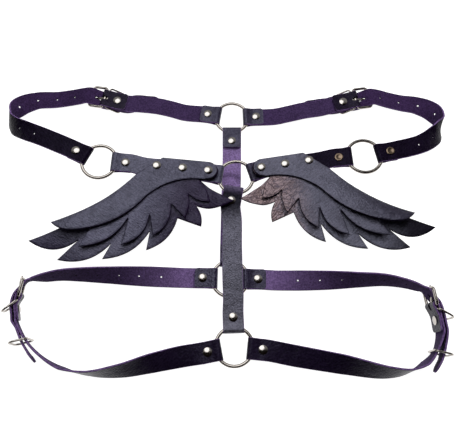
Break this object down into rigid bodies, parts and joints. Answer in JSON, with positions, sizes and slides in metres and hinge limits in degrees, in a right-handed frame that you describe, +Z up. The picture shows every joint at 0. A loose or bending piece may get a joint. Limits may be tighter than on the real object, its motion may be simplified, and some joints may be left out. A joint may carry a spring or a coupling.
{
  "type": "angel wing harness",
  "caption": "Leather body harness of punched, buckled straps joined by metal rings at chest and waist, with a pair of layered feather-shaped leather wings riveted to its back.",
  "frame": {"origin": "middle of the bounding box in plan, on the surface that the harness lies on", "axes": "+Z up, +X to the right across the harness, +Y from the waist loop towards the chest loop"},
  "size_m": [0.4674, 0.3102, 0.0439],
  "materials": {
    "strap_leather": "semi-gloss grain on one side, matte purple suede on the other",
    "wing_leather": "satin fine grain",
    "nickel": "polished nickel plate"
  },
  "bodies": {
    "root": {"ring_front_chest": "nickel", "ring_centre_back": "nickel", "ring_side_left": "nickel", "ring_side_right": "nickel", "ring_waist_front": "nickel", "ring_waist_back": "nickel", "front_vertical": "strap_leather", "rivet_front_vertical_top": "nickel", "rivet_front_vertical_foot": "nickel", "back_vertical": "strap_leather", "rivet_back_vertical_top": "nickel", "rivet_back_vertical_foot": "nickel", "chest_front_left": "strap_leather", "rivet_chest_front_left": "nickel", "rivet_chest_buckle_left": "nickel", "chest_side_left": "strap_leather", "rivet_chest_side_left": "nickel", "wing_strap_left": "strap_leather", "wing_bottom_left": "wing_leather", "wing_middle_left": "wing_leather", "wing_blade_left": "wing_leather", "rivet_wing_left_1": "nickel", "rivet_wing_left_2": "nickel", "rivet_wing_left_3": "nickel", "rivet_wing_strap_left": "nickel", "waist_front_left": "strap_leather", "rivet_waist_front_left": "nickel", "waist_back_left": "strap_leather", "rivet_waist_back_left": "nickel", "rivet_waist_buckle_left": "nickel", "keeper_chest_left": "nickel", "keeper_waist_left_upper": "nickel", "keeper_waist_left_lower": "nickel", "chest_front_right": "strap_leather", "rivet_chest_front_right": "nickel", "rivet_chest_buckle_right": "nickel", "chest_side_right": "strap_leather", "rivet_chest_side_right": "nickel", "wing_strap_right": "strap_leather", "wing_bottom_right": "wing_leather", "wing_middle_right": "wing_leather", "wing_blade_right": "wing_leather", "rivet_wing_right_1": "nickel", "rivet_wing_right_2": "nickel", "rivet_wing_right_3": "nickel", "rivet_wing_strap_right": "nickel", "waist_front_right": "strap_leather", "rivet_waist_front_right": "nickel", "waist_back_right": "strap_leather", "rivet_waist_back_right": "nickel", "rivet_waist_buckle_right": "nickel", "keeper_chest_right": "nickel", "keeper_waist_right_upper": "nickel", "keeper_waist_right_lower": "nickel", "buckle_chest_left": "nickel", "buckle_chest_right": "nickel", "buckle_waist_left": "nickel", "buckle_waist_right": "nickel"}
  },
  "joints": []
}
